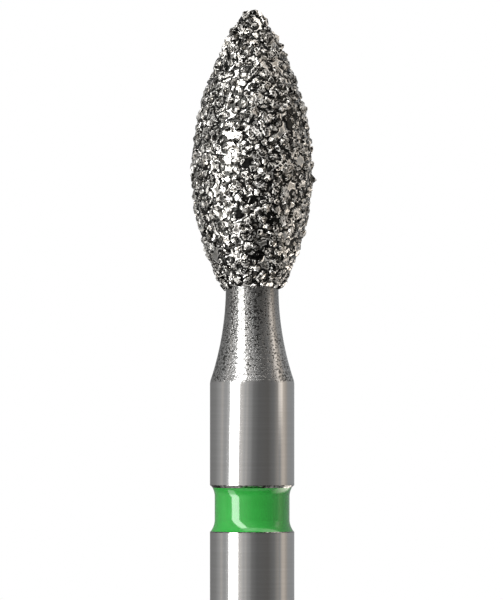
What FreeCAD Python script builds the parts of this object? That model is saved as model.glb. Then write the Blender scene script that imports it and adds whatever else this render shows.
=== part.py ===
"""Dental diamond bur with a friction-grip shank and a pointed, flame-shaped head.

The steel blank is turned in one piece: shank, colour groove, waisted neck and the core of the head.
Nickel is plated over the core, coarse diamond crystals stand in it, and a lacquer ring fills the groove.
Millimetres, +Z from the rear end of the shank to the tip, with the origin at the centre of the rear face.
"""

import FreeCAD
import Part
import Sketcher

import math
import os
import random

# The driving sizes, each with the name of its cell, in millimetres and degrees
SIZES = [
    ("shank_diameter", 1.6, "friction-grip shank, across"),
    ("shank_length", 12.0, "rear face to the shoulder at the neck"),
    ("rear_chamfer", 0.1, "leg of the chamfer round the rear face"),
    ("shoulder_chamfer", 0.03, "leg of the broken edge at the shoulder"),
    ("neck_diameter", 1.0, "neck where it meets the head, across"),
    ("neck_length", 1.8, "shoulder to the head"),
    ("groove_start", 9.165, "rear face to the rear edge of the colour groove"),
    ("groove_width", 0.88, "colour groove, measured on the shank's surface"),
    ("groove_depth", 0.16, "colour groove, shank's surface to floor"),
    ("flank_angle", 45.0, "flanks of the colour groove, from the axis"),
    ("groove_run_out", 0.1, "how far the groove's profile stands clear of the shank"),
    ("lacquer_depth", 0.07, "lacquer over the floor of the groove"),
    ("lacquer_hollow", 5.0, "radius of the lacquer's surface along the middle, which sags a little"),
    ("lacquer_curve", 0.35, "radius of the lacquer's surface where it climbs a flank"),
    ("front_climb", 0.045, "climb of the lacquer on the flank towards the head"),
    ("rear_climb", 0.08, "climb of the lacquer on the flank towards the rear"),
    ("core_diameter", 2.0, "steel core of the head at its belly, across"),
    ("core_length", 5.08, "neck to the steel tip"),
    ("belly_height", 2.15, "neck to the belly, the widest place of the head"),
    ("core_tip_radius", 0.13, "rounding of the steel tip"),
    ("bond_thickness", 0.085, "nickel over the steel core from the belly to the tip"),
    ("bond_edge", 0.03, "nickel over the steel core at the neck, where it thins out"),
    ("grain_size", 0.211, "largest diamond crystal, across its corners"),
    ("grain_height", 0.105, "how far the tallest crystal stands out of the nickel"),
]

# How the crystals vary, as shares of the largest one and in degrees
NARROWEST = 0.7
LOWEST = 0.55
SKEW = 14
GRAIN_SEED = 12

# How the crystals are spread: their distance in grain sizes, the turn between two, and the outline's steps
GRAINS_APART = 1.14
GOLDEN_ANGLE = 180 * (3 - math.sqrt(5))
OUTLINE_POINTS = 800

# A crystal's facets are triangles, so three corners share a turn
CORNERS = 3
CORNER_TURN = 360 / CORNERS

# Positions on sketch geometry and the sketch's own origin and axis, as the Sketcher numbers them
START, END, CENTRE = range(1, 4)
ORIGIN, VERTICAL_AXIS = range(-1, -3, -1)

# Two numbers this near each other are the same
CLOSE = 1e-6

doc = FreeCAD.newDocument("dental_bur")
sheet = doc.addObject("Spreadsheet::Sheet", "sizes")


def fill_sheet():
    """Writes each driving size into the sheet, beside what it means."""
    for row, (alias, value, meaning) in enumerate(SIZES, start=1):
        sheet.set(f"A{row}", meaning)
        sheet.set(f"B{row}", str(value))
        sheet.setAlias(f"B{row}", alias)
    doc.recompute()


def size(alias):
    return float(sheet.get(alias))


def new_body(label):
    body = doc.addObject("PartDesign::Body", label)
    body.Label = label
    return body


def new_sketch(body, name):
    """An empty sketch in the plane of the axis: across it is the radius, and up it is Z."""
    sketch = body.newObject("Sketcher::SketchObject", name)
    plane = next(f for f in body.Origin.OriginFeatures if f.Role == "XZ_Plane")
    sketch.AttachmentSupport = [(plane, "")]
    sketch.MapMode = "FlatFace"
    return sketch


def at(across, up):
    return FreeCAD.Vector(across, up, 0)


def add_line(sketch, start, end):
    return sketch.addGeometry(Part.LineSegment(start, end), False)


def add_arc(sketch, centre, start, end):
    """An arc about centre, anticlockwise from start to end."""
    first = math.atan2(start.y - centre.y, start.x - centre.x)
    last = math.atan2(end.y - centre.y, end.x - centre.x)
    if last < first:
        last += 2 * math.pi
    circle = Part.Circle(centre, FreeCAD.Vector(0, 0, 1), (start - centre).Length)
    return sketch.addGeometry(Part.ArcOfCircle(circle, first, last), False)


def tie(sketch, kind, *where):
    """A constraint with no size of its own."""
    sketch.addConstraint(Sketcher.Constraint(kind, *where))


def bind(sketch, name, kind, *where, to):
    """A constraint whose size is the expression that it is bound to."""
    measured = {"DistanceX": "x", "DistanceY": "y"}.get(kind)
    if measured:
        first, last = (sketch.getPoint(*where[i : i + 2]) for i in (0, 2))
        value = getattr(last - first, measured)
    else:
        value = sketch.Geometry[where[0]].Radius
    index = sketch.addConstraint(Sketcher.Constraint(kind, *where, value))
    sketch.renameConstraint(index, name)
    sketch.setExpression(f"Constraints.{name}", to)


def place(sketch, name, geometry, position, across=None, up=None):
    """Binds a point's distance from the axis, its height above the rear face, or both."""
    if across:
        bind(sketch, f"{name}_across", "DistanceX", ORIGIN, START, geometry, position, to=across)
    if up:
        bind(sketch, f"{name}_up", "DistanceY", ORIGIN, START, geometry, position, to=up)


def revolve(body, kind, sketch, name):
    feature = body.newObject(kind, name)
    feature.Profile = sketch
    feature.ReferenceAxis = (sketch, ["V_Axis"])
    feature.Angle = 360
    doc.recompute()
    return feature


def round_edge(feature, radius, height):
    """The name of the feature's circular edge of this radius at this height."""
    for number, edge in enumerate(feature.Shape.Edges, start=1):
        if edge.Degenerated or not isinstance(edge.Curve, Part.Circle):
            continue
        circle = edge.Curve
        if abs(circle.Radius - radius) < CLOSE and abs(circle.Center.z - height) < CLOSE:
            return f"Edge{number}"
    raise ValueError(f"{feature.Name} has no circle of radius {radius} at height {height}")


def chamfer(body, base, radius, height, name, leg):
    feature = body.newObject("PartDesign::Chamfer", name)
    feature.Base = (base, [round_edge(base, radius, height)])
    feature.setExpression("Size", leg)
    doc.recompute()
    return feature


def core_points():
    """Where the core's outline has its ends and centres, from its driving sizes."""
    neck = size("neck_diameter") / 2
    belly = size("core_diameter") / 2
    tip = size("core_tip_radius")
    base_up = size("shank_length") + size("neck_length")
    belly_up = base_up + size("belly_height")
    tip_up = base_up + size("core_length") - tip
    lower = (size("belly_height") ** 2 + (belly - neck) ** 2) / (2 * (belly - neck))
    rise = tip_up - belly_up
    upper = (belly**2 + rise**2 - tip**2) / (2 * (belly - tip))
    tip_centre = at(0, tip_up)
    upper_centre = at(belly - upper, belly_up)
    towards_tip = (tip_centre - upper_centre).normalize()
    return {
        "base": at(neck, base_up),
        "belly": at(belly, belly_up),
        "touch": tip_centre + towards_tip * tip,
        "tip": tip_centre + at(0, tip),
        "lower_centre": at(belly - lower, belly_up),
        "upper_centre": upper_centre,
        "tip_centre": tip_centre,
        "towards_tip": towards_tip,
    }


def draw_core(sketch):
    """The core's outline from the neck to the tip: two long arcs that meet at the belly, and a tip arc."""
    core = core_points()
    lower = add_arc(sketch, core["lower_centre"], core["base"], core["belly"])
    upper = add_arc(sketch, core["upper_centre"], core["belly"], core["touch"])
    tip = add_arc(sketch, core["tip_centre"], core["touch"], core["tip"])
    tie(sketch, "Coincident", lower, END, upper, START)
    tie(sketch, "Horizontal", lower, CENTRE, lower, END)
    tie(sketch, "Horizontal", upper, CENTRE, upper, START)
    tie(sketch, "Tangent", upper, END, tip, START)
    tie(sketch, "PointOnObject", tip, CENTRE, VERTICAL_AXIS)
    tie(sketch, "PointOnObject", tip, END, VERTICAL_AXIS)
    base_up = "sizes.shank_length + sizes.neck_length"
    place(sketch, "head_base", lower, START, across="sizes.neck_diameter / 2", up=base_up)
    place(sketch, "belly", lower, END, across="sizes.core_diameter / 2")
    bind(sketch, "belly_height", "DistanceY", lower, START, lower, END, to="sizes.belly_height")
    bind(sketch, "core_length", "DistanceY", lower, START, tip, END, to="sizes.core_length")
    bind(sketch, "tip_radius", "Radius", tip, to="sizes.core_tip_radius")
    return lower, upper, tip


def make_steel_blank():
    """Shank, colour groove, neck and core, turned from one bar."""
    body = new_body("steel_blank")
    sketch = new_sketch(body, "blank_outline")
    shank = size("shank_diameter") / 2
    core = core_points()
    waist = shank - core["base"].x
    neck_curve = (size("neck_length") ** 2 + waist**2) / (2 * waist)
    rear_edge = at(shank, 0)
    shoulder = at(shank, size("shank_length"))
    lower, upper, tip = draw_core(sketch)
    axis = add_line(sketch, core["tip"], at(0, 0))
    rear = add_line(sketch, at(0, 0), rear_edge)
    side = add_line(sketch, rear_edge, shoulder)
    neck = add_arc(sketch, core["base"] + at(neck_curve, 0), core["base"], shoulder)
    tie(sketch, "Coincident", tip, END, axis, START)
    tie(sketch, "Coincident", axis, END, ORIGIN, START)
    tie(sketch, "Coincident", axis, END, rear, START)
    tie(sketch, "Coincident", rear, END, side, START)
    tie(sketch, "Coincident", side, END, neck, END)
    tie(sketch, "Coincident", neck, START, lower, START)
    tie(sketch, "Horizontal", neck, CENTRE, neck, START)
    tie(sketch, "Horizontal", rear)
    tie(sketch, "Vertical", side)
    place(sketch, "shoulder", side, END, across="sizes.shank_diameter / 2", up="sizes.shank_length")
    turned = revolve(body, "PartDesign::Revolution", sketch, "turned_blank")
    grooved = cut_groove(body, turned)
    rear_cut = chamfer(body, grooved, shank, 0, "rear_chamfer", "sizes.rear_chamfer")
    chamfer(body, rear_cut, shank, shoulder.y, "shoulder_edge", "sizes.shoulder_chamfer")


def groove_section():
    """The floor's radius, the heights where it starts and ends, and a flank's run per unit of depth."""
    slope = 1 / math.tan(math.radians(size("flank_angle")))
    run = size("groove_depth") * slope
    floor = size("shank_diameter") / 2 - size("groove_depth")
    rear_up = size("groove_start") + run
    front_up = size("groove_start") + size("groove_width") - run
    return floor, rear_up, front_up, slope


def place_floor(sketch, floor):
    """Binds the groove's floor, drawn from the rear flank to the front one."""
    floor_across = "sizes.shank_diameter / 2 - sizes.groove_depth"
    floor_up = "sizes.groove_start + sizes.groove_depth / tan(sizes.flank_angle)"
    floor_length = "sizes.groove_width - 2 * sizes.groove_depth / tan(sizes.flank_angle)"
    place(sketch, "floor", floor, START, across=floor_across, up=floor_up)
    bind(sketch, "floor_length", "DistanceY", floor, START, floor, END, to=floor_length)
    tie(sketch, "Vertical", floor)


def cut_groove(body, turned):
    """Turns the colour groove, with a profile that stands clear of the shank."""
    sketch = new_sketch(body, "groove_outline")
    floor_radius, rear_up, front_up, slope = groove_section()
    clear = size("groove_run_out")
    outside = size("shank_diameter") / 2 + clear
    run = clear * slope
    rear_floor = at(floor_radius, rear_up)
    front_floor = at(floor_radius, front_up)
    rear_out = at(outside, size("groove_start") - run)
    front_out = at(outside, size("groove_start") + size("groove_width") + run)
    floor = add_line(sketch, rear_floor, front_floor)
    front = add_line(sketch, front_floor, front_out)
    mouth = add_line(sketch, front_out, rear_out)
    rear = add_line(sketch, rear_out, rear_floor)
    tie(sketch, "Coincident", floor, END, front, START)
    tie(sketch, "Coincident", front, END, mouth, START)
    tie(sketch, "Coincident", mouth, END, rear, START)
    tie(sketch, "Coincident", rear, END, floor, START)
    tie(sketch, "Vertical", mouth)
    place_floor(sketch, floor)
    mouth_across = "sizes.shank_diameter / 2 + sizes.groove_run_out"
    mouth_up = "sizes.groove_start - sizes.groove_run_out / tan(sizes.flank_angle)"
    mouth_length = "sizes.groove_width + 2 * sizes.groove_run_out / tan(sizes.flank_angle)"
    place(sketch, "mouth", mouth, END, across=mouth_across, up=mouth_up)
    bind(sketch, "mouth_length", "DistanceY", mouth, END, mouth, START, to=mouth_length)
    groove = revolve(body, "PartDesign::Groove", sketch, "colour_groove")
    if groove.Shape.Volume >= turned.Shape.Volume:
        raise ValueError("the colour groove cut nothing")
    return groove


def make_colour_ring():
    """The lacquer: almost level along the middle, and drawn up both flanks in a tighter curve."""
    body = new_body("colour_ring")
    sketch = new_sketch(body, "ring_outline")
    floor_radius, rear_up, front_up, slope = groove_section()
    shank = size("shank_diameter") / 2
    level = floor_radius + size("lacquer_depth")
    curve = size("lacquer_curve")
    rear_top, front_top = level + size("rear_climb"), level + size("front_climb")
    rear_edge = at(rear_top, size("groove_start") + (shank - rear_top) * slope)
    front_end = size("groove_start") + size("groove_width")
    front_edge = at(front_top, front_end - (shank - front_top) * slope)
    rear_level = at(level, rear_edge.y + math.sqrt(curve**2 - (curve - size("rear_climb")) ** 2))
    front_level = at(level, front_edge.y - math.sqrt(curve**2 - (curve - size("front_climb")) ** 2))
    rear_floor = at(floor_radius, rear_up)
    front_floor = at(floor_radius, front_up)
    middle = (front_level + rear_level) / 2
    hollow = math.sqrt(size("lacquer_hollow") ** 2 - (front_level - middle).Length ** 2)
    floor = add_line(sketch, rear_floor, front_floor)
    front_flank = add_line(sketch, front_floor, front_edge)
    front_curve = add_arc(sketch, front_level + at(curve, 0), front_edge, front_level)
    top = add_arc(sketch, middle + at(hollow, 0), front_level, rear_level)
    rear_curve = add_arc(sketch, rear_level + at(curve, 0), rear_level, rear_edge)
    rear_flank = add_line(sketch, rear_edge, rear_floor)
    tie(sketch, "Coincident", floor, END, front_flank, START)
    tie(sketch, "Coincident", front_flank, END, front_curve, START)
    tie(sketch, "Tangent", front_curve, END, top, START)
    tie(sketch, "Tangent", top, END, rear_curve, START)
    tie(sketch, "Coincident", rear_curve, END, rear_flank, START)
    tie(sketch, "Coincident", rear_flank, END, floor, START)
    tie(sketch, "Vertical", top, START, top, END)
    place_floor(sketch, floor)
    bind(sketch, "depth", "DistanceX", floor, END, top, START, to="sizes.lacquer_depth")
    bind(sketch, "hollow", "Radius", top, to="sizes.lacquer_hollow")
    bind_climb(sketch, "rear", rear_flank, START, END, rear_curve, sign="-")
    bind_climb(sketch, "front", front_flank, END, START, front_curve, sign="")
    revolve(body, "PartDesign::Revolution", sketch, "lacquer")


def bind_climb(sketch, side, flank, upper, lower, curve, sign):
    """Binds how high the lacquer stands on one flank, and the radius of its surface there."""
    climb = f"(sizes.lacquer_depth + sizes.{side}_climb)"
    rise = f"{sign}{climb} / tan(sizes.flank_angle)"
    bind(sketch, f"{side}_climb", "DistanceX", flank, lower, flank, upper, to=climb)
    bind(sketch, f"{side}_rise", "DistanceY", flank, lower, flank, upper, to=rise)
    bind(sketch, f"{side}_radius", "Radius", curve, to="sizes.lacquer_curve")


def make_nickel_bond():
    """The plated nickel: even from the tip to the belly, then thinner towards its end at the neck."""
    body = new_body("nickel_bond")
    sketch = new_sketch(body, "bond_outline")
    core = core_points()
    bond = size("bond_thickness")
    low_in, up_in, tip_in = draw_core(sketch)
    base = core["base"] + at(size("bond_edge"), 0)
    belly = core["belly"] + at(bond, 0)
    swell = belly.x - base.x
    lower = (size("belly_height") ** 2 + swell**2) / (2 * swell)
    touch = core["touch"] + core["towards_tip"] * bond
    top = core["tip"] + at(0, bond)
    low_out = add_arc(sketch, belly - at(lower, 0), base, belly)
    up_out = add_arc(sketch, core["upper_centre"], belly, touch)
    tip_out = add_arc(sketch, core["tip_centre"], touch, top)
    end = add_line(sketch, core["base"], base)
    axis = add_line(sketch, top, core["tip"])
    for outer, inner in ((up_out, up_in), (tip_out, tip_in)):
        tie(sketch, "Coincident", outer, CENTRE, inner, CENTRE)
    tie(sketch, "Coincident", low_out, END, up_out, START)
    tie(sketch, "Horizontal", low_out, CENTRE, low_out, END)
    tie(sketch, "Horizontal", low_in, END, low_out, END)
    tie(sketch, "Tangent", up_out, END, tip_out, START)
    tie(sketch, "Coincident", end, START, low_in, START)
    tie(sketch, "Coincident", end, END, low_out, START)
    tie(sketch, "Horizontal", end)
    tie(sketch, "Coincident", axis, START, tip_out, END)
    tie(sketch, "Coincident", axis, END, tip_in, END)
    tie(sketch, "Vertical", axis)
    bind(sketch, "thickness", "DistanceX", low_in, END, low_out, END, to="sizes.bond_thickness")
    bind(sketch, "edge", "DistanceX", end, START, end, END, to="sizes.bond_edge")
    revolve(body, "PartDesign::Revolution", sketch, "plating")
    return [sketch.Geometry[i].toShape() for i in (low_out, up_out, tip_out)]


def grain_seats(outline):
    """Where the crystals sit on the nickel: equal shares of its area, a golden angle apart, neck to tip.

    Each seat is a point on the surface and the direction straight out of it.
    """
    points = Part.Wire(outline).discretize(Number=OUTLINE_POINTS)
    if points[0].y > points[-1].y:
        points.reverse()
    middles = [(a + b) / 2 for a, b in zip(points, points[1:])]
    steps = [b - a for a, b in zip(points, points[1:])]
    areas = [2 * math.pi * m.x * s.Length for m, s in zip(middles, steps)]
    share = (size("grain_size") * GRAINS_APART) ** 2 * math.sqrt(3) / 2
    seats = []
    covered = 0.0
    for middle, step, area in zip(middles, steps, areas):
        covered += area
        while covered > (len(seats) + 0.5) * share:
            turn = FreeCAD.Rotation(FreeCAD.Vector(0, 0, 1), GOLDEN_ANGLE * len(seats))
            where = FreeCAD.Vector(middle.x, 0, middle.y)
            outward = FreeCAD.Vector(step.y, 0, -step.x).normalize()
            seats.append((turn.multVec(where), turn.multVec(outward)))
    return seats


def ring_of_corners(draws, seat, outward, start, tallest):
    """Three corners about a seat, roughly a third of a turn apart, at random reaches and heights."""
    turn = FreeCAD.Rotation(FreeCAD.Vector(0, 0, 1), outward)
    corners = []
    for number in range(CORNERS):
        angle = math.radians(start + CORNER_TURN * number + draws.uniform(-SKEW, SKEW))
        reach = size("grain_size") / 2 * draws.uniform(NARROWEST, 1)
        height = tallest * draws.uniform(LOWEST, 1)
        corner = FreeCAD.Vector(reach * math.cos(angle), reach * math.sin(angle), height)
        corners.append(seat + turn.multVec(corner))
    return corners


def facet(*corners):
    return Part.Face(Part.makePolygon([*corners, corners[0]]))


def crystal(draws, seat, outward):
    """An octahedral crystal that sits on the nickel with one facet, and shows the other seven."""
    start = draws.uniform(0, 360)
    low = ring_of_corners(draws, seat, outward, start, 0)
    high = ring_of_corners(draws, seat, outward, start + CORNER_TURN / 2, size("grain_height"))
    facets = [facet(*low), facet(*high)]
    for here in range(CORNERS):
        after = (here + 1) % CORNERS
        facets.append(facet(low[here], low[after], high[here]))
        facets.append(facet(high[here], high[after], low[after]))
    solid = Part.Solid(Part.Shell(facets))
    if solid.Volume < 0:
        solid.reverse()
    return solid


def make_diamond_grit(outline):
    """All the crystals, as separate solids of one piece."""
    draws = random.Random(GRAIN_SEED)
    grit = doc.addObject("Part::Feature", "diamond_grit")
    grit.Label = "diamond_grit"
    grains = [crystal(draws, seat, outward) for seat, outward in grain_seats(outline)]
    grit.Shape = Part.makeCompound(grains)
    doc.recompute()


def check_and_export(labels):
    """Stops if an object failed, a sketch is loose or a shape is unsound, then writes the STEP files."""
    failed = [o.Name for o in doc.Objects if {"Invalid", "Error"} & set(o.State)]
    if failed:
        raise RuntimeError(f"these objects failed: {failed}")
    loose = [o.Name for o in doc.findObjects("Sketcher::SketchObject") if not o.FullyConstrained]
    if loose:
        raise RuntimeError(f"these sketches aren't fully constrained: {loose}")
    os.makedirs("parts", exist_ok=True)
    for label in labels:
        shape = doc.getObjectsByLabel(label)[0].Shape
        if shape.isNull() or not shape.isValid():
            raise RuntimeError(f"{label} has no sound shape")
        print(f"{label}: {len(shape.Solids)} solids, {shape.Volume:.4f} cubic millimetres")
        shape.exportStep(os.path.join("parts", f"{label}.step"))


fill_sheet()
make_steel_blank()
make_colour_ring()
bond_outline = make_nickel_bond()
make_diamond_grit(bond_outline)
check_and_export(["steel_blank", "colour_ring", "nickel_bond", "diamond_grit"])
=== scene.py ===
"""Looks of a dental diamond bur: turned steel, plated nickel, coarse diamond grit and a green lacquer ring.

The shapes are worked out in millimetres, in the frame of the solids,
and turned into metres as meshes are made.
"""

import math
import random

import bmesh
import bpy
import numpy as np
from mathutils import Euler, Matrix, Vector, kdtree, noise


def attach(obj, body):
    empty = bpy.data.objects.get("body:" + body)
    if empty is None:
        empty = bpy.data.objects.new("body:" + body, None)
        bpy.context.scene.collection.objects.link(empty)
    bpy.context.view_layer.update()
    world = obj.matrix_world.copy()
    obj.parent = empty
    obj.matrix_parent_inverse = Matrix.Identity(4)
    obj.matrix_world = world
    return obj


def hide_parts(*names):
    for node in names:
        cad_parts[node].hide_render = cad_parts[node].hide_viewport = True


MM = 0.001
BODY = "root"
SEED = 21

# The blank: radii and heights above the rear face
SHANK_RADIUS = 0.8
SHANK_LENGTH = 12.0
REAR_CHAMFER = 0.1
SHOULDER_CHAMFER = 0.03
NECK_RADIUS = 0.5
HEAD_BASE = 13.8
GROOVE_START = 9.165
GROOVE_END = 10.045
GROOVE_DEPTH = 0.16
EDGE_EASE = 0.012
GROOVE_EASE = 0.003

# The head: its steel core and the nickel over it
CORE_RADIUS = 1.0
CORE_LENGTH = 5.08
BELLY_HEIGHT = 2.15
TIP_RADIUS = 0.13
BOND = 0.085
BOND_EDGE = 0.03

# The lacquer's surface
LACQUER_RADIUS = 0.71
REAR_CLIMB = 0.08
FRONT_CLIMB = 0.045
LACQUER_CURVE = 0.35
LACQUER_UNDER = 0.02

# How finely the turned pieces are divided
SEGMENTS = 192
CORE_ROWS = 40
NICKEL_SEGMENTS = 264
NICKEL_ROWS = 330
OUTLINE_STEPS = 4000
CLIMB_STEPS = 12
EASE_STEPS = 4

# How far an eased corner reaches along its sides, in times its ease
EASE_REACH = 2.5

# Radii under this are on the axis, and heights over the head's base under this are on its flat end
ON_AXIS = 1e-9
FLAT_END = 1e-6

# The angles in degrees from which an edge stays sharp
BLANK_SHARP = 18
LACQUER_SHARP = 40
GRIT_SHARP = 25
NICKEL_SHARP = 80

# Turning marks on the neck, with finer and fainter ones on them, and two darker rings
MARK_PITCH = 0.012
MARK_DEPTH = 0.0007
MARK_SCALE = 22.0
MARK_FINER = 3
MARK_FAINTER = 0.5
NECK_OVERLAP = 0.02
RING_HEIGHTS = (12.545, 12.78)
RING_WIDTH = 0.009

# The nickel's relief: its depth and scale, and the roughness, gaps and number of its octaves of noise
NICKEL_RELIEF = 0.004
NICKEL_SCALE = 7.0
NICKEL_NOISE = (0.9, 2.2, 3)

# How high and how far the nickel climbs a crystal, how far out it is marked as the crystal's rim (which the
# material paints with shade and a highlight), and at what share of the crystal's half width both start. The
# nearest crystals' climbs add up, to a limit in climbs.
CLIMB = 0.02
CLIMB_REACH = 0.03
RIM_REACH = 0.05
CRYSTAL_SHARE = 0.85
HIGHEST_CLIMB = 1.2
NEAREST = 2

# The crystals' shapes: how many kinds, how many planes cut each and how far from its centre, the angle in
# radians under which facets merge, and how much each crystal is stretched
KINDS = 28
CUTS = 17
CUT_REACH = (0.76, 1.0)
MERGE_ANGLE = 0.02
STRETCH = (0.7, 1.15)

# The share of seats left empty, and how high a crystal's foot, painted with shade, reaches in half widths
MISSING = 0.045
FOOT = 0.65

# The share of crystals with a flat top, its height in half widths, and how far up the head there are any
FLAT_SHARE = 0.78
FLAT_TOPS = (0.38, 0.8)
POINT = 4.3

# The crystals' seats: how finely the head's outline is walked, margins at its base and tip, the step that the
# nickel's slope is measured over, and the least radius that a seat's stray angle is worked out with
SEAT_ROWS = 700
BASE_MARGIN = 0.03
TIP_MARGIN = 0.004
SLOPE_STEP = 0.003
LEAST_RADIUS = 0.08

# The layers of crystals: their spacing, half widths, how deep they sit and how far they stray
GRIT_LAYERS = [
    {"name": "coarse", "spacing": 0.173, "smallest": 0.078, "largest": 0.122, "sunk": 0.5, "stray": 0.03},
    {"name": "fine", "spacing": 0.27, "smallest": 0.03, "largest": 0.05, "sunk": 0.2, "stray": 0.07},
]
GOLDEN_ANGLE = math.pi * (3 - math.sqrt(5))

# The steel: its colours, the scales of its noises along X, Y and Z, where in them pits and burrs begin, and
# how wide the burrs along the groove are
STEEL_DRAWN = [(0.58, 0.575, 0.565, 1), (0.62, 0.615, 0.61, 1)]
# The neck's turned steel, and a darker copy of it that is painted shade just below the head
STEEL_TURNED_AND_SHADED = [(0.58, 0.575, 0.565, 1), (0.36, 0.355, 0.345, 1)]
# Painted shade in the pits and the two rings, which are real hollows in the bump
STEEL_PIT_SHADE = (0.12, 0.12, 0.115, 1)
STEEL_BURR = [(0.04, 0.04, 0.035, 1), (0.5, 0.49, 0.47, 1)]
RINGS_SCALE = (0.5, 0.5, 22)
WORN_SCALE = (1.6, 1.6, 0.5)
PITS_SCALE = (22, 22, 30)
FINE_SCALE = (4, 4, 120)
BURR_SCALE = (14, 14, 60)
PITTED = (0.665, 0.735)
BURRED = (0.42, 0.62)
BURR_WIDTH = 0.004
BURR_FADE = 0.01

# How strong the steel's worn patches, pits, rings and fine lines are, how its turning fades towards the head,
# where the neck's look begins round the shoulder, and how far below the head it is darkened with painted
# shade
WORN_SHARE = 0.3
PIT_DEPTH = 0.25
RING_DARKNESS = (0.1, 0.6, 0.55, 0.7)
FINE_DEPTH = 0.04
TURNING_DEPTHS = (1.1, 0.3)
TURNING_FADE = 1.1
NECK_LOOK = (0.01, 0.03)
HEAD_SHADE_SPAN = (1.2, 0.1)

# Each material's range of roughness, and its bump as (strength, depth in mm)
STEEL_ROUGH = (0.06, 0.1)
NECK_ROUGHER = 0.03
STEEL_BUMP = (0.7, 0.01)
LACQUER_ROUGH = (0.06, 0.1)
LACQUER_BUMP = (0.1, 0.01)
NICKEL_ROUGH = (0.08, 0.2)
NICKEL_BUMP = (0.6, 0.012)
GRIT_ROUGH = (0.12, 0.3)
LINE_ROUGHER = 0.35
GRIT_BUMP = (0.5, 0.014)

# The lacquer: its colours, the scales of its pools and of its faint orange peel, and its clear coat
LACQUER_GREEN = [(0.035, 0.43, 0.055, 1), (0.042, 0.49, 0.068, 1)]
POOLS_SCALE = (2, 2, 3)
PEEL_SCALE = (6, 6, 6)
LACQUER_IOR = 1.47
COAT = 0.6
COAT_ROUGH = 0.04

# The nickel: its colours, its noises, and where from a crystal's rim outwards it is black with painted shade
# and then bright with a painted highlight
NICKEL_PLATE = [(0.5, 0.485, 0.45, 1), (0.8, 0.78, 0.73, 1)]
NICKEL_CREST_HIGHLIGHT = (0.9, 0.88, 0.84, 1)
NICKEL_CREVICE_SHADE = (0.03, 0.03, 0.028, 1)
BLOTCHES_SCALE = (7, 7, 7)
BEADS_SCALE = (24, 24, 24)
RAGGED_SHARE = 0.8
CREST_HIGHLIGHTED = (0.2, 0.35)
CREVICE_SHADED = (0.6, 0.74)

# The crystals: their colours and noises, and (middle, width) of the bright lines of painted highlight and the
# dark lines of painted shade in one of them
GRIT_BODY = [(0.055, 0.052, 0.046, 1), (0.39, 0.37, 0.331, 1)]
GRIT_FLAT = (0.44, 0.423, 0.392, 1)
# Painted highlight for the bright lines and facet edges, and painted shade for the dark lines and feet
GRIT_HIGHLIGHT = (0.95, 0.93, 0.89, 1)
GRIT_SHADE = (0.008, 0.008, 0.007, 1)
CELLS_SCALE = (12, 12, 12)
CHIPS_SCALE = (26, 26, 26)
WINDING_SCALE = (11, 11, 11)
HIGHLIGHT_LINE = (0.45, 0.034)
SHADE_LINE = (0.53, 0.05)
SHADE_SHARE, TONE_SHARE = 0.6, 0.4
SHADED = (0.1, 0.9)
FLATTENED = (0.6, 0.8)
# Where along a facet its edge's painted highlight begins, and where a foot's painted shade begins
EDGE_HIGHLIGHTED = (0.92, 1.0)
FOOT_SHADED = (0.56, 0.72)
FACET_TILT = 0.1

# The camera's frame: the photograph's size and scale in pixels, and where the bur's axis and head base are
FRAME_WIDTH, FRAME_HEIGHT = 503, 600
PIXELS_PER_MM = 52.9
AXIS_PIXEL = 252.15
HEAD_BASE_PIXEL = 286.5
LENS = 600.0
SENSOR = 36.0
CLIP_START, CLIP_END = 0.01, 10.0

# The studio, in metres, with angles from the camera's direction towards its right
LAMP_DISTANCE = 0.25
AMBIENT = 0.2
FLOOR_RADIUS = 0.15
FLOOR_SEGMENTS = 128
FLOOR_FADE = (0.3, 0.07)
FLOOR_TONE = 0.8
FLOOR_GRAIN = (0.8, 0.8, 0.8)
GRAIN_LEVELS = (0.99, 1.01)
WHITE = (1, 1, 1, 1)

# The lamps: name, azimuth, elevation, width and height in degrees, brightness and colour
LAMPS = [
    ("key", -50, 8, 24, 80, 4.6, (1, 1, 1)),
    ("top", -20, 58, 70, 20, 2.0, (1, 1, 1)),
    ("fill", -25, 15, 50, 50, 0.35, (1, 1, 1)),
    ("right_card", 96, 5, 18, 70, 0.5, (1.0, 0.93, 0.82)),
]

# The tent of cards: its outline in metres, how far its bands lean, and how they fade by elevation
TENT = [(0.012, 0.0002), (0.33, 0.001), (0.35, 0.06), (0.33, 0.2), (0.25, 0.3), (0.12, 0.35), (0.0, 0.36)]
TENT_SEGMENTS = 96
TENT_LEAN = 0.5
TENT_LEANS_FROM, TENT_LEANS_TO = (-130, -95), (15, 50)
TENT_FADES = [(-90, 0.2), (-32, 0.35), (-14, 1.0), (40, 1.0), (50, 0.35), (75, 0.1), (90, 0.05)]

# The brighter cards: whether they lean, and (angle in degrees, brightness, warmth if any) both ways.
# They are the key on the left, one overhead, one low behind the right side, and a small one on the right.
CARDS = [
    {
        "leans": True,
        "sideways": [(-65, 0.0), (-63, 7.0), (-40, 7.0), (-38, 0.0)],
        "upwards": [(-48, 0.0), (-42, 0.3), (-26, 0.35), (-16, 1.0), (44, 1.0), (50, 0.0)],
    },
    {
        "leans": False,
        "sideways": [
            (-95, 0.0),
            (-50, 0.3),
            (-26, 1.8),
            (8, 1.8),
            (26, 1.2),
            (60, 1.8, 0.05),
            (120, 1.8, 0.05),
            (150, 0.0),
        ],
        "upwards": [(44, 0.0), (50, 1.0), (66, 1.0), (72, 0.0)],
    },
    {
        "leans": False,
        "sideways": [(60, 0.0), (105, 2.8, 0.08), (150, 2.8, 0.08), (170, 0.0)],
        "upwards": [(-68, 0.0), (-60, 1.0), (-30, 1.0), (-20, 0.0)],
    },
    {
        "leans": False,
        "sideways": [(74, 0.0), (80, 0.6, 0.1), (89, 0.6, 0.1), (95, 0.0)],
        "upwards": [(2, 0.0), (5, 1.0), (30, 1.0), (36, 0.0)],
    },
]

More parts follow.
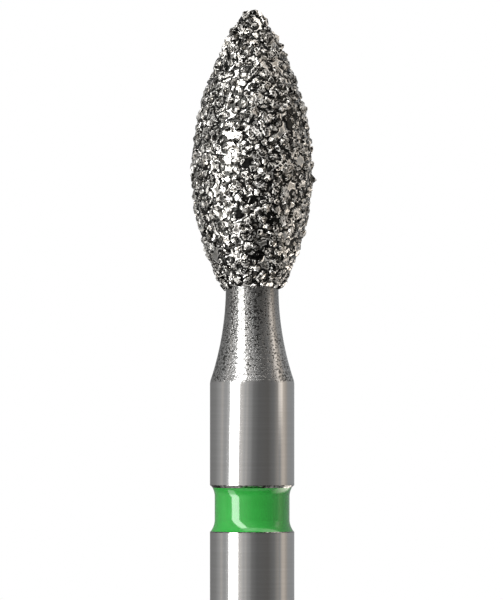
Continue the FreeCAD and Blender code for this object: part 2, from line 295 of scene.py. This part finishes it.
# What the metal mirrors round the bur: (angle in degrees, brightness, warmth)
TENT_BANDS = [
    (-180, 1.0, 0.0),
    (-171, 1.0, 0.0),
    (-168, 0.25, 0.0),
    (-145, 0.25, 0.0),
    (-118, 0.31, 0.0),
    (-100, 0.45, 0.0),
    (-91, 0.56, 0.04),
    (-84, 0.47, 0.0),
    (-77, 0.47, 0.0),
    (-65, 0.8, 0.0),
    (-38, 0.88, 0.03),
    (-28, 0.72, 0.03),
    (-22, 0.54, 0.0),
    (-17, 0.58, 0.03),
    (-12, 0.41, 0.0),
    (-6, 0.37, 0.0),
    (0, 0.24, 0.0),
    (15, 0.16, 0.0),
    (44, 0.145, 0.03),
    (62, 0.22, 0.0),
    (75, 0.37, 0.06),
    (82, 0.36, 0.0),
    (89, 0.6, 0.1),
    (97, 0.63, 0.11),
    (106, 0.46, 0.1),
    (115, 0.4, 0.0),
    (140, 0.37, -0.02),
    (168, 0.37, -0.02),
    (171, 1.0, 0.0),
]


def outline_radius(height, skin):
    """The head's radius at a height above the rear face: of the core, or with skin 1 of the nickel."""
    belly = HEAD_BASE + BELLY_HEIGHT
    tip_centre = HEAD_BASE + CORE_LENGTH - TIP_RADIUS
    widest = CORE_RADIUS + BOND * skin
    swell = widest - NECK_RADIUS - BOND_EDGE * skin
    lower = (BELLY_HEIGHT**2 + swell**2) / (2 * swell)
    rise = tip_centre - belly
    upper = (CORE_RADIUS**2 + rise**2 - TIP_RADIUS**2) / (2 * (CORE_RADIUS - TIP_RADIUS))
    tip = TIP_RADIUS + BOND * skin
    touch = tip_centre + tip * rise / (upper - TIP_RADIUS)
    if height <= belly:
        return widest - lower + math.sqrt(lower**2 - (height - belly) ** 2)
    if height <= touch:
        return CORE_RADIUS - upper + math.sqrt((upper + BOND * skin) ** 2 - (height - belly) ** 2)
    return math.sqrt(max(tip**2 - (height - tip_centre) ** 2, 0))


def head_outline(skin, rows):
    """Points along the head's outline from its base to the tip on the axis, even along the curve."""
    top = HEAD_BASE + CORE_LENGTH + BOND * skin
    shares = [math.sin(i / OUTLINE_STEPS * math.pi / 2) for i in range(OUTLINE_STEPS + 1)]
    fine = [HEAD_BASE + (top - HEAD_BASE) * share for share in shares]
    points = [(outline_radius(z, skin), z) for z in fine]
    points[-1] = (0.0, top)
    lengths = [math.dist(a, b) for a, b in zip(points, points[1:])]
    total = sum(lengths)
    outline = [points[0]]
    walked = 0.0
    for length, point in zip(lengths, points[1:]):
        walked += length
        if walked >= total * len(outline) / rows:
            outline.append(point)
    outline[-1] = points[-1]
    return outline


def eased(corners):
    """An outline with softened corners. Each corner is (radius, height, ease), and an ease of 0 keeps it."""
    points = []
    for i, (radius, height, ease) in enumerate(corners):
        here = Vector((radius, height))
        if not ease:
            points.append(tuple(here))
            continue
        before = (Vector(corners[i - 1][:2]) - here).normalized()
        after = (Vector(corners[i + 1][:2]) - here).normalized()
        points.append(tuple(here + before * ease * EASE_REACH))
        for step in range(EASE_STEPS + 1):
            t = step / EASE_STEPS
            bend = here + before * ease * (1 - t) ** 2 + after * ease * t**2
            points.append(tuple(bend))
        points.append(tuple(here + after * ease * EASE_REACH))
    return points


def new_piece(name, vertices, faces):
    """A smooth mesh object from millimetre coordinates."""
    mesh = bpy.data.meshes.new(name)
    mesh.from_pydata((np.asarray(vertices) * MM).tolist(), [], faces)
    mesh.validate()
    mesh.shade_smooth()
    piece = bpy.data.objects.new(name, mesh)
    bpy.context.collection.objects.link(piece)
    return piece


def lathe(name, outline, segments):
    """A turned mesh from (radius, height) pairs. Its ends meet unless one is on the axis."""
    angles = np.arange(segments) * 2 * math.pi / segments
    ring = np.stack([np.cos(angles), np.sin(angles), np.zeros(segments)], axis=1)
    vertices = []
    rows = []
    for radius, height in outline:
        start = len(vertices)
        if radius < ON_AXIS:
            vertices.append((0, 0, height))
            rows.append([start] * segments)
            continue
        vertices.extend((ring * radius + np.array([0, 0, height])).tolist())
        rows.append(list(range(start, start + segments)))
    if min(outline[0][0], outline[-1][0]) > ON_AXIS:
        rows.append(rows[0])
    faces = []
    for lower, upper in zip(rows, rows[1:]):
        for i in range(segments):
            j = (i + 1) % segments
            corners = [lower[i], lower[j], upper[j], upper[i]]
            faces.append(list(dict.fromkeys(corners)))
    return new_piece(name, vertices, faces)


def neck_outline():
    """The neck's hollow curve from the shoulder to the head, with fine rings left by turning."""
    length = HEAD_BASE - SHANK_LENGTH
    waist = SHANK_RADIUS - NECK_RADIUS
    curve = (length**2 + waist**2) / (2 * waist)
    points = []
    height = SHANK_LENGTH + SHOULDER_CHAMFER
    while height < HEAD_BASE + NECK_OVERLAP:
        drop = max(HEAD_BASE - height, 0)
        radius = NECK_RADIUS + curve - math.sqrt(curve**2 - drop**2)
        mark = noise.noise(Vector((0, 0, height * MARK_SCALE))) * MARK_DEPTH
        mark += noise.noise(Vector((5, 0, height * MARK_SCALE * MARK_FINER))) * MARK_DEPTH * MARK_FAINTER
        points.append((radius + mark, height))
        height += MARK_PITCH
    return points


def make_blank():
    """The steel blank with its groove, neck and the core under the nickel."""
    floor = SHANK_RADIUS - GROOVE_DEPTH
    shank = eased(
        [
            (0, 0, 0),
            (SHANK_RADIUS - REAR_CHAMFER, 0, EDGE_EASE),
            (SHANK_RADIUS, REAR_CHAMFER, EDGE_EASE),
            (SHANK_RADIUS, GROOVE_START, GROOVE_EASE),
            (floor, GROOVE_START + GROOVE_DEPTH, 0),
            (floor, GROOVE_END - GROOVE_DEPTH, 0),
            (SHANK_RADIUS, GROOVE_END, GROOVE_EASE),
            (SHANK_RADIUS, SHANK_LENGTH - SHOULDER_CHAMFER, 0),
        ]
        + [(*neck_outline()[0], 0)]
    )
    core = head_outline(0, CORE_ROWS)[2:]
    blank = lathe("blank", shank[:-1] + neck_outline() + core, SEGMENTS)
    blank.data.set_sharp_from_angle(angle=math.radians(BLANK_SHARP))
    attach(blank, BODY)
    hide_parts("steel_blank")
    return blank


def climb_points(flank_height, climb, towards_head):
    """The lacquer's hollow curve up one flank, from the level middle to the flank."""
    reach = math.sqrt(LACQUER_CURVE**2 - (LACQUER_CURVE - climb) ** 2)
    sign = 1 if towards_head else -1
    points = []
    for step in range(CLIMB_STEPS + 1):
        across = reach * step / CLIMB_STEPS
        radius = LACQUER_RADIUS + LACQUER_CURVE - math.sqrt(LACQUER_CURVE**2 - across**2)
        points.append((radius, flank_height - sign * (reach - across)))
    return points


def make_lacquer():
    """The green ring: a level middle, and a hollow curve that climbs each flank of the groove."""
    rear_flank = GROOVE_START + (SHANK_RADIUS - LACQUER_RADIUS - REAR_CLIMB)
    front_flank = GROOVE_END - (SHANK_RADIUS - LACQUER_RADIUS - FRONT_CLIMB)
    floor = SHANK_RADIUS - GROOVE_DEPTH
    rear = climb_points(rear_flank, REAR_CLIMB, towards_head=False)[::-1]
    front = climb_points(front_flank, FRONT_CLIMB, towards_head=True)
    under = [
        (front[-1][0] - LACQUER_UNDER, front[-1][1]),
        (floor, GROOVE_END - GROOVE_DEPTH),
        (floor, GROOVE_START + GROOVE_DEPTH),
        (rear[0][0] - LACQUER_UNDER, rear[0][1]),
    ]
    ring = lathe("lacquer_ring", rear + front + under, SEGMENTS)
    ring.data.set_sharp_from_angle(angle=math.radians(LACQUER_SHARP))
    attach(ring, BODY)
    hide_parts("colour_ring")
    return ring


def seats(draws, spacing, stray):
    """Places on the nickel's surface, in even shares of its area, each moved a little at random."""
    outline = head_outline(1, SEAT_ROWS)
    share = spacing**2 * math.sqrt(3) / 2
    lowest = HEAD_BASE + BASE_MARGIN
    highest = HEAD_BASE + CORE_LENGTH + BOND - TIP_MARGIN
    found = []
    covered = 0.0
    count = 0
    for (r0, z0), (r1, z1) in zip(outline, outline[1:]):
        covered += math.pi * (r0 + r1) * math.dist((r0, z0), (r1, z1))
        while covered > (count + 0.5) * share:
            height = (z0 + z1) / 2 + draws.gauss(0, stray)
            height = min(max(height, lowest), highest)
            radius = outline_radius(height, 1)
            angle = GOLDEN_ANGLE * count + draws.gauss(0, stray) / max(radius, LEAST_RADIUS)
            slope = (outline_radius(height + SLOPE_STEP, 1) - radius) / SLOPE_STEP
            outward = Vector((math.cos(angle), math.sin(angle), -slope)).normalized()
            place = Vector((radius * math.cos(angle), radius * math.sin(angle), height))
            found.append((place, outward))
            count += 1
    return found


def crystal_kind(draws):
    """One crystal shape: a block of about unit half width, with corners cut off by random planes.

    Each facet has a vertex in its middle. The last list has 1 at the facets' edges and 0 in their middles.
    """
    cut = bmesh.new()
    bmesh.ops.create_cube(cut, size=2)
    for _ in range(CUTS):
        normal = Vector((draws.gauss(0, 1), draws.gauss(0, 1), draws.gauss(0, 1))).normalized()
        where = normal * draws.uniform(*CUT_REACH)
        everything = cut.verts[:] + cut.edges[:] + cut.faces[:]
        plane = {"plane_co": where, "plane_no": normal}
        sliced = bmesh.ops.bisect_plane(cut, geom=everything, clear_outer=True, **plane)
        rim = [e for e in sliced["geom_cut"] if isinstance(e, bmesh.types.BMEdge)]
        bmesh.ops.contextual_create(cut, geom=rim)
    bmesh.ops.dissolve_limit(cut, angle_limit=MERGE_ANGLE, verts=cut.verts[:], edges=cut.edges[:])
    bmesh.ops.recalc_face_normals(cut, faces=cut.faces[:])
    corners = len(cut.verts)
    bmesh.ops.poke(cut, faces=cut.faces[:])
    cut.verts.index_update()
    cut.verts.ensure_lookup_table()
    vertices = np.array([v.co[:] for v in cut.verts])
    faces = [[v.index for v in f.verts] for f in cut.faces]
    rims = [1.0 if v.index < corners else 0.0 for v in cut.verts]
    cut.free()
    return vertices, faces, rims


def grow_crystals(draws, kinds, layer):
    """Vertices, faces and vertex values of a layer of crystals, and the place and half width of each one.

    The values are a random tone for each crystal, and 1 at its facets' edges, at its foot in the nickel and
    on its flat top. The material paints a highlight along the edges and shade at the foot.
    """
    vertices, faces, tones, rims, feet, flats, grains = [], [], [], [], [], [], []
    count = 0
    for place, outward in seats(draws, layer["spacing"], layer["stray"]):
        if draws.random() < MISSING:
            continue
        shape, sides, edges = draws.choice(kinds)
        half = draws.uniform(layer["smallest"], layer["largest"])
        stretch = np.array([draws.uniform(*STRETCH) for _ in range(3)])
        turn = Euler([draws.uniform(0, 2 * math.pi) for _ in range(3)]).to_matrix()
        centre = place - outward * half * draws.uniform(0, layer["sunk"])
        grain = (shape * stretch * half) @ np.array(turn).T + np.array(centre)
        flat = draws.random() < FLAT_SHARE and place.z < HEAD_BASE + POINT
        top = draws.uniform(*FLAT_TOPS) * half if flat else 2 * half
        rises = (grain - np.array(place)) @ np.array(outward)
        grain -= np.outer(np.maximum(rises - top, 0), np.array(outward))
        faces.extend([[count + corner for corner in side] for side in sides])
        vertices.append(grain)
        tones.extend([draws.random()] * len(grain))
        rims.extend(edges)
        feet.extend(np.clip(1 - rises / (half * FOOT), 0, 1))
        flats.extend(np.where(rises > top, 1.0, 0.0))
        grains.append((place, half))
        count += len(grain)
    values = {"tone": tones, "rim": rims, "foot": feet, "flat": flats}
    return np.concatenate(vertices), faces, values, grains


def store(piece, name, values):
    """A number for each vertex, for a material to read."""
    piece.data.attributes.new(name, "FLOAT", "POINT").data.foreach_set("value", values)


def make_grit(draws, kinds, layer):
    """One layer of crystals as a piece, with the values that its material reads."""
    vertices, faces, values, grains = grow_crystals(draws, kinds, layer)
    grit = new_piece(f"grit_{layer['name']}", vertices, faces)
    grit.data.set_sharp_from_angle(angle=math.radians(GRIT_SHARP))
    for name, numbers in values.items():
        store(grit, name, numbers)
    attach(grit, BODY)
    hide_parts("diamond_grit")
    return grit, grains


def make_nickel(grains):
    """The nickel skin: it rolls between the crystals and climbs each one in a hollow curve."""
    outline = head_outline(1, NICKEL_ROWS)
    base = [(NECK_RADIUS, HEAD_BASE)]
    nickel = lathe("nickel_skin", base + outline, NICKEL_SEGMENTS)
    tree = kdtree.KDTree(len(grains))
    for index, (place, _) in enumerate(grains):
        tree.insert(place, index)
    tree.balance()
    centre = Vector((0, 0, HEAD_BASE + CORE_LENGTH - TIP_RADIUS))
    rims = [1.0] * len(nickel.data.vertices)
    for vertex in nickel.data.vertices:
        place = vertex.co / MM
        if place.z < HEAD_BASE + FLAT_END:
            continue
        outward = place - centre if place.z > centre.z else Vector((place.x, place.y, 0))
        outward = outward.normalized()
        rise = noise.fractal(place * NICKEL_SCALE, *NICKEL_NOISE) * NICKEL_RELIEF
        nearest = 1.0
        for _, index, distance in tree.find_n(place, NEAREST):
            gap = max(distance - grains[index][1] * CRYSTAL_SHARE, 0)
            rise += CLIMB * (1 - min(gap / CLIMB_REACH, 1)) ** 2
            nearest = min(nearest, gap / RIM_REACH)
        rims[vertex.index] = 1 - nearest
        vertex.co = (place + outward * min(rise, CLIMB * HIGHEST_CLIMB)) * MM
    # The rim value marks where the material paints shade and a highlight round each crystal
    store(nickel, "rim", rims)
    nickel.data.set_sharp_from_angle(angle=math.radians(NICKEL_SHARP))
    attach(nickel, BODY)
    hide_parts("nickel_bond")
    return nickel


class Nodes:
    """The node tree of a material or a world, with short ways to add and join its nodes."""

    def __init__(self, owner, output="ShaderNodeOutputMaterial"):
        owner.use_nodes = True
        self.owner = owner
        self.tree = owner.node_tree
        self.tree.nodes.clear()
        self.output = self.add(output)

    def add(self, kind, inputs=None, **settings):
        """A new node, whose inputs are values or other nodes' sockets."""
        node = self.tree.nodes.new(kind)
        for key, value in settings.items():
            setattr(node, key, value)
        for key, value in (inputs or {}).items():
            if isinstance(value, bpy.types.NodeSocket):
                self.tree.links.new(value, node.inputs[key])
            else:
                node.inputs[key].default_value = value
        return node

    def surface(self, socket):
        """Joins a shader to the output, and gives back the material or world."""
        self.tree.links.new(socket, self.output.inputs["Surface"])
        return self.owner

    def attribute(self, name):
        """A number that the mesh has for each vertex."""
        return self.add("ShaderNodeAttribute", attribute_name=name).outputs["Fac"]

    def where(self, scale):
        """Object coordinates in units of 1 mm, stretched by scale."""
        spot = self.add("ShaderNodeTexCoord").outputs["Object"]
        factor = tuple(s / MM for s in scale)
        return self.add("ShaderNodeMapping", {"Vector": spot, "Scale": factor}).outputs["Vector"]

    def clouds(self, scale, detail=3.0, rough=0.5):
        """Noise from 0 to 1 whose features measure about 1 / scale millimetres along X, Y and Z."""
        inputs = {"Vector": self.where(scale), "Scale": 1.0, "Detail": detail, "Roughness": rough}
        return self.add("ShaderNodeTexNoise", inputs).outputs["Fac"]

    def spread(self, value, low, high, start=0.3, end=0.7):
        """Maps a value from start..end, which holds most of a noise's values, to low..high."""
        inputs = {"Value": value, "From Min": start, "From Max": end, "To Min": low, "To Max": high}
        return self.add("ShaderNodeMapRange", inputs).outputs["Result"]

    def height(self):
        """The height above the rear face, in millimetres."""
        return self.add("ShaderNodeSeparateXYZ", {"Vector": self.where((1, 1, 1))}).outputs["Z"]

    def sums(self, operation, first, second=0.0):
        """Any operation of the math node."""
        return self.add("ShaderNodeMath", {0: first, 1: second}, operation=operation).outputs["Value"]

    def blend(self, factor, first, second):
        """Mixes two colours."""
        inputs = {"Factor": factor, "A": first, "B": second}
        mix = self.add("ShaderNodeMix", data_type="RGBA")
        for key, value in inputs.items():
            kind = "VALUE" if key == "Factor" else "RGBA"
            socket = next(s for s in mix.inputs if s.name == key and s.type == kind)
            if isinstance(value, bpy.types.NodeSocket):
                self.tree.links.new(value, socket)
            else:
                socket.default_value = value
        return next(s for s in mix.outputs if s.type == "RGBA")

    def product(self, first, second):
        """Multiplies two colours or vectors."""
        return self.add("ShaderNodeVectorMath", {0: first, 1: second}, operation="MULTIPLY").outputs["Vector"]

    def total(self, first, second):
        """Adds two colours or vectors."""
        return self.add("ShaderNodeVectorMath", {0: first, 1: second}, operation="ADD").outputs["Vector"]

    def cells(self, scale):
        """A random colour for each cell of a broken surface."""
        inputs = {"Vector": self.where(scale), "Scale": 1.0}
        return self.add("ShaderNodeTexVoronoi", inputs, feature="F1").outputs["Color"]

    def beside(self, value, middle, width):
        """1 where a value is near the middle, and 0 from about the width away."""
        away = self.sums("ABSOLUTE", self.sums("SUBTRACT", value, middle))
        return self.spread(away, 1, 0, width * 0.7, width * 1.3)

    def facets(self, shades, normal, tilt):
        """A normal that is tilted at random for each cell, by up to about the tilt."""
        centred = self.add("ShaderNodeVectorMath", {0: shades, 1: (0.5, 0.5, 0.5)}, operation="SUBTRACT")
        turned = self.product(centred.outputs["Vector"], (2 * tilt, 2 * tilt, 2 * tilt))
        tilted = self.total(turned, normal)
        return self.add("ShaderNodeVectorMath", {0: tilted}, operation="NORMALIZE").outputs["Vector"]

    def bump(self, height, strength, distance_mm):
        """A normal that follows a relief from 0 to 1, as high as the distance."""
        inputs = {"Height": height, "Strength": strength, "Distance": distance_mm * MM}
        return self.add("ShaderNodeBump", inputs).outputs["Normal"]

    def principled(self, inputs):
        """Finishes the material with the plain shader."""
        return self.surface(self.add("ShaderNodeBsdfPrincipled", inputs).outputs["BSDF"])


def new_nodes(name):
    """The nodes of a new material."""
    return Nodes(bpy.data.materials.new(name))


def steel_material():
    """Drawn bright on the shank, and finely turned, with rings and small pits, on the neck, whose pits and
    rings get painted shade and which darkens with painted shade just below the head.
    """
    n = new_nodes("turned_steel")
    height = n.height()
    on_neck = n.spread(height, 0, 1, SHANK_LENGTH - NECK_LOOK[0], SHANK_LENGTH + NECK_LOOK[1])
    rings = n.clouds(RINGS_SCALE, detail=3.0)
    worn = n.sums("MULTIPLY", n.clouds(WORN_SCALE, detail=1.0), WORN_SHARE)
    pits = n.sums("ADD", n.clouds(PITS_SCALE, detail=2.0, rough=0.6), worn)
    fine = n.clouds(FINE_SCALE, detail=2.0)
    # Painted shade: a dark colour in the pits and the two rings, which also sink in the bump
    deep = n.spread(pits, 0, 1, *PITTED)
    for ring in RING_HEIGHTS:
        dark = n.sums("MULTIPLY", n.beside(height, ring, RING_WIDTH), n.spread(pits, *RING_DARKNESS))
        deep = n.sums("ADD", deep, dark)
    turning = n.spread(height, *TURNING_DEPTHS, SHANK_LENGTH, SHANK_LENGTH + TURNING_FADE)
    marks = n.sums("SUBTRACT", n.sums("MULTIPLY", rings, turning), n.sums("MULTIPLY", deep, PIT_DEPTH))
    relief = n.sums("ADD", n.sums("MULTIPLY", marks, on_neck), n.sums("MULTIPLY", fine, FINE_DEPTH))
    drawn = n.blend(n.spread(rings, 0, 1), *STEEL_DRAWN)
    # Painted shade: the neck's colour darkens just below the head
    head_shade = n.spread(height, 0, 1, HEAD_BASE - HEAD_SHADE_SPAN[0], HEAD_BASE - HEAD_SHADE_SPAN[1])
    turned = n.blend(deep, n.blend(head_shade, *STEEL_TURNED_AND_SHADED), STEEL_PIT_SHADE)
    low, high = GROOVE_START - BURR_WIDTH, GROOVE_END + BURR_WIDTH
    above = n.spread(height, 0, 1, low - BURR_FADE, low)
    below = n.spread(height, 1, 0, high, high + BURR_FADE)
    burr = n.blend(n.spread(n.clouds(BURR_SCALE), 0, 1, *BURRED), *STEEL_BURR)
    colour = n.blend(n.sums("MULTIPLY", above, below), n.blend(on_neck, drawn, turned), burr)
    rough = n.sums("ADD", n.spread(fine, *STEEL_ROUGH), n.sums("MULTIPLY", on_neck, NECK_ROUGHER))
    return n.principled(
        {
            "Base Color": colour,
            "Metallic": 1.0,
            "Roughness": rough,
            "Normal": n.bump(relief, *STEEL_BUMP),
        }
    )


def lacquer_material():
    """Glossy green lacquer, a little deeper where it pools."""
    n = new_nodes("green_lacquer")
    pools = n.clouds(POOLS_SCALE, detail=2.0)
    return n.principled(
        {
            "Base Color": n.blend(n.spread(pools, 0, 1), *LACQUER_GREEN),
            "Roughness": n.spread(pools, *LACQUER_ROUGH),
            "IOR": LACQUER_IOR,
            "Coat Weight": COAT,
            "Coat Roughness": COAT_ROUGH,
            "Normal": n.bump(n.clouds(PEEL_SCALE, detail=1.0), *LACQUER_BUMP),
        }
    )


def nickel_material():
    """Plated nickel: bright and slightly warm and finely beaded, with painted shade where it meets a crystal
    and a painted highlight on the crest just beyond.
    """
    n = new_nodes("plated_nickel")
    beads = n.clouds(BEADS_SCALE, detail=3.0)
    bright = n.blend(n.spread(n.clouds(BLOTCHES_SCALE, detail=3.0), 0, 1), *NICKEL_PLATE)
    uneven = n.sums("MULTIPLY", n.sums("SUBTRACT", beads, 0.5), RAGGED_SHARE)
    ragged = n.sums("ADD", n.attribute("rim"), uneven)
    # Painted highlight on the crest round each crystal, and painted shade next to it
    crest_highlighted = n.blend(n.spread(ragged, 0, 1, *CREST_HIGHLIGHTED), bright, NICKEL_CREST_HIGHLIGHT)
    return n.principled(
        {
            "Base Color": n.blend(n.spread(ragged, 0, 1, *CREVICE_SHADED), crest_highlighted, NICKEL_CREVICE_SHADE),
            "Metallic": 1.0,
            "Roughness": n.spread(beads, *NICKEL_ROUGH),
            "Normal": n.bump(beads, *NICKEL_BUMP),
        }
    )


def grit_material():
    """Grey crystals, chipped into small facets, with winding lines of painted highlight and painted shade, a
    painted highlight along facet edges and painted shade at their feet.
    """
    n = new_nodes("diamond_grit")
    shades = n.cells(CELLS_SCALE)
    shade = n.add("ShaderNodeSeparateXYZ", {"Vector": shades}).outputs["X"]
    chips = n.clouds(CHIPS_SCALE, detail=2.0)
    uneven = n.sums("SUBTRACT", chips, 0.5)
    winding = n.clouds(WINDING_SCALE, detail=1.5)
    highlight_line = n.beside(winding, *HIGHLIGHT_LINE)
    shaded = n.sums("MULTIPLY", shade, SHADE_SHARE)
    depth = n.sums("ADD", shaded, n.sums("MULTIPLY", n.attribute("tone"), TONE_SHARE))
    body = n.blend(n.spread(depth, 0, 1, *SHADED), *GRIT_BODY)
    body = n.blend(n.spread(n.attribute("flat"), 0, 1, *FLATTENED), body, GRIT_FLAT)
    # Painted highlight and painted shade in winding lines, a painted highlight along facet edges, and painted
    # shade at the feet
    highlighted = n.blend(highlight_line, body, GRIT_HIGHLIGHT)
    shade_lined = n.blend(n.beside(winding, *SHADE_LINE), highlighted, GRIT_SHADE)
    ragged = n.sums("ADD", n.attribute("rim"), uneven)
    edge_highlighted = n.blend(n.spread(ragged, 0, 1, *EDGE_HIGHLIGHTED), shade_lined, GRIT_HIGHLIGHT)
    foot_shade = n.sums("ADD", n.attribute("foot"), uneven)
    rough = n.sums("ADD", n.spread(shade, *GRIT_ROUGH, 0, 1), n.sums("MULTIPLY", highlight_line, LINE_ROUGHER))
    return n.principled(
        {
            "Base Color": n.blend(n.spread(foot_shade, 0, 1, *FOOT_SHADED), edge_highlighted, GRIT_SHADE),
            "Metallic": 1.0,
            "Roughness": rough,
            "Normal": n.facets(shades, n.bump(chips, *GRIT_BUMP), FACET_TILT),
        }
    )


def dress(piece, material):
    """Gives a piece one material."""
    piece.data.materials.clear()
    piece.data.materials.append(material)


def direction(azimuth, elevation):
    """A unit vector from the bur: azimuth from the camera's side towards its right, in degrees."""
    a, e = math.radians(azimuth), math.radians(elevation)
    return Vector((math.sin(a) * math.cos(e), -math.cos(a) * math.cos(e), math.sin(e)))


def softbox(name, azimuth, elevation, width, height, brightness, colour):
    """An area lamp aimed at the bur, sized in degrees, whose reflection is a card of the tent instead."""
    wide = 2 * LAMP_DISTANCE * math.tan(math.radians(width) / 2)
    tall = 2 * LAMP_DISTANCE * math.tan(math.radians(height) / 2)
    light = bpy.data.lights.new(name, "AREA")
    light.shape = "RECTANGLE"
    light.size = wide
    light.size_y = tall
    light.energy = brightness * math.pi * wide * tall
    light.color = colour
    lamp = bpy.data.objects.new(name, light)
    back = direction(azimuth, elevation)
    lamp.location = Vector((0, 0, HEAD_BASE * MM)) + back * LAMP_DISTANCE
    lamp.rotation_euler = back.to_track_quat("Z", "Y").to_euler()
    lamp.visible_camera = False
    lamp.visible_glossy = False
    bpy.context.collection.objects.link(lamp)


def tent_levels(n, value, stops):
    """A colour ramp over (angle in degrees, brightness, warmth if any) stops, for an angle in degrees."""
    low, high = -180, 180
    ramp = n.add("ShaderNodeValToRGB", {"Fac": n.spread(value, 0, 1, low, high)})
    places = ramp.color_ramp.elements
    while len(places) > 1:
        places.remove(places[-1])
    for index, (degrees, level, *warmth) in enumerate(stops):
        tint = warmth[0] if warmth else 0
        position = (degrees - low) / (high - low)
        place = places[0] if index == 0 else places.new(position)
        place.position = position
        place.color = (level * (1 + tint), level, level * (1 - tint), 1)
    return ramp.outputs["Color"]


def tent_material():
    """Grey, white and cream cards round the bur, as bands by direction that lean on the key's side."""
    n = new_nodes("tent_cards")
    spot = n.add("ShaderNodeTexCoord").outputs["Object"]
    split = n.add("ShaderNodeSeparateXYZ", {"Vector": spot})
    across, height = split.outputs["X"], n.sums("SUBTRACT", split.outputs["Z"], HEAD_BASE * MM)
    towards = n.sums("MULTIPLY", split.outputs["Y"], -1.0)
    azimuth = n.sums("MULTIPLY", n.sums("ARCTAN2", across, towards), math.degrees(1))
    reach = n.sums("SQRT", n.sums("ADD", n.sums("POWER", across, 2.0), n.sums("POWER", towards, 2.0)))
    elevation = n.sums("MULTIPLY", n.sums("ARCTAN2", height, reach), math.degrees(1))
    rising = n.spread(azimuth, 0, 1, *TENT_LEANS_FROM)
    falling = n.spread(azimuth, 1, 0, *TENT_LEANS_TO)
    share = n.sums("MULTIPLY", n.sums("MULTIPLY", rising, falling), TENT_LEAN)
    leaned = n.sums("SUBTRACT", azimuth, n.sums("MULTIPLY", elevation, share))
    levels = n.product(tent_levels(n, leaned, TENT_BANDS), tent_levels(n, elevation, TENT_FADES))
    for card in CARDS:
        sideways = tent_levels(n, leaned if card["leans"] else azimuth, card["sideways"])
        levels = n.total(levels, n.product(sideways, tent_levels(n, elevation, card["upwards"])))
    glow = n.add("ShaderNodeEmission", {"Color": levels, "Strength": 1.0})
    return n.surface(glow.outputs["Emission"])


def make_tent():
    """A closed tent of cards that only reflections see."""
    tent = lathe("reflection_tent", [(r / MM, z / MM) for r, z in TENT], TENT_SEGMENTS)
    dress(tent, tent_material())
    tent.visible_camera = False
    tent.visible_diffuse = False
    tent.visible_shadow = False


def backdrop_ray(n):
    """1 for the rays that see the backdrop: from the camera, a mirror or glass."""
    rays = n.add("ShaderNodeLightPath").outputs
    seen = n.sums("MAXIMUM", rays["Is Camera Ray"], rays["Is Glossy Ray"])
    return n.sums("MAXIMUM", seen, rays["Is Transmission Ray"])


def floor_material():
    """A pale floor that turns into the white backdrop away from the bur."""
    n = new_nodes("pale_floor")
    spot = n.add("ShaderNodeTexCoord").outputs["Object"]
    away = n.add("ShaderNodeVectorMath", {0: spot}, operation="LENGTH").outputs["Value"]
    share, end = FLOOR_FADE
    far = n.spread(away, 0, 1, end * share, end)
    low, high = [(FLOOR_TONE * level,) * 3 + (1,) for level in GRAIN_LEVELS]
    paint = n.blend(n.clouds(FLOOR_GRAIN, detail=3.0), low, high)
    matt = n.add("ShaderNodeBsdfDiffuse", {"Color": paint}).outputs["BSDF"]
    white = n.add("ShaderNodeEmission", {"Color": WHITE, "Strength": 1.0}).outputs["Emission"]
    seen = n.sums("MULTIPLY", far, backdrop_ray(n))
    mix = n.add("ShaderNodeMixShader", {0: seen, 1: matt, 2: white})
    return n.surface(mix.outputs["Shader"])


def make_floor():
    """A round floor under the bur."""
    angles = [i / FLOOR_SEGMENTS * 2 * math.pi for i in range(FLOOR_SEGMENTS)]
    rim = [(FLOOR_RADIUS / MM * math.cos(a), FLOOR_RADIUS / MM * math.sin(a), 0) for a in angles]
    floor = new_piece("floor", rim, [list(range(FLOOR_SEGMENTS))])
    dress(floor, floor_material())


def make_world():
    """White where it is seen, and a plain level where it lights."""
    world = bpy.data.worlds.new("white_studio")
    bpy.context.scene.world = world
    n = Nodes(world, "ShaderNodeOutputWorld")
    level = n.spread(backdrop_ray(n), AMBIENT, 1.0, 0.0, 1.0)
    sky = n.add("ShaderNodeBackground", {"Color": WHITE, "Strength": level})
    n.surface(sky.outputs["Background"])


def make_camera():
    """Level with the middle of the frame, far off, with a long lens."""
    data = bpy.data.cameras.new("camera")
    data.lens = LENS
    data.sensor_width = SENSOR
    data.clip_start = CLIP_START
    data.clip_end = CLIP_END
    camera = bpy.data.objects.new("camera", data)
    half_height = FRAME_HEIGHT / PIXELS_PER_MM / 2
    distance = half_height * LENS / (SENSOR / 2)
    across = (FRAME_WIDTH / 2 - AXIS_PIXEL) / PIXELS_PER_MM
    up = HEAD_BASE + (HEAD_BASE_PIXEL - FRAME_HEIGHT / 2) / PIXELS_PER_MM
    camera.location = Vector((across, -distance, up)) * MM
    camera.rotation_euler = (math.radians(90), 0, 0)
    bpy.context.collection.objects.link(camera)
    bpy.context.scene.camera = camera


def make_studio():
    """Everything round the bur: light, reflections, floor and camera."""
    make_world()
    make_tent()
    make_floor()
    for lamp in LAMPS:
        softbox(*lamp)
    make_camera()
    bpy.context.scene.view_settings.view_transform = "Standard"


def make_bur():
    """The bur's pieces, with their materials. The nickel comes last, because it climbs the crystals."""
    draws = random.Random(SEED)
    dress(make_blank(), steel_material())
    dress(make_lacquer(), lacquer_material())
    kinds = [crystal_kind(draws) for _ in range(KINDS)]
    crystals = grit_material()
    grains = []
    for layer in GRIT_LAYERS:
        grit, seated = make_grit(draws, kinds, layer)
        dress(grit, crystals)
        grains += seated
    dress(make_nickel(grains), nickel_material())


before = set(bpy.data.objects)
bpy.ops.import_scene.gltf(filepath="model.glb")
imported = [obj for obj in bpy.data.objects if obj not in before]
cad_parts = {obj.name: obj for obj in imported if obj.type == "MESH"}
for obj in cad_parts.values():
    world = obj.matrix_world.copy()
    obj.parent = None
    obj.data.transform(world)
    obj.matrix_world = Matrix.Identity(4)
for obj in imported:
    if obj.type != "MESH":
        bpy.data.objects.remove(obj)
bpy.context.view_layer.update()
make_bur()
make_studio()
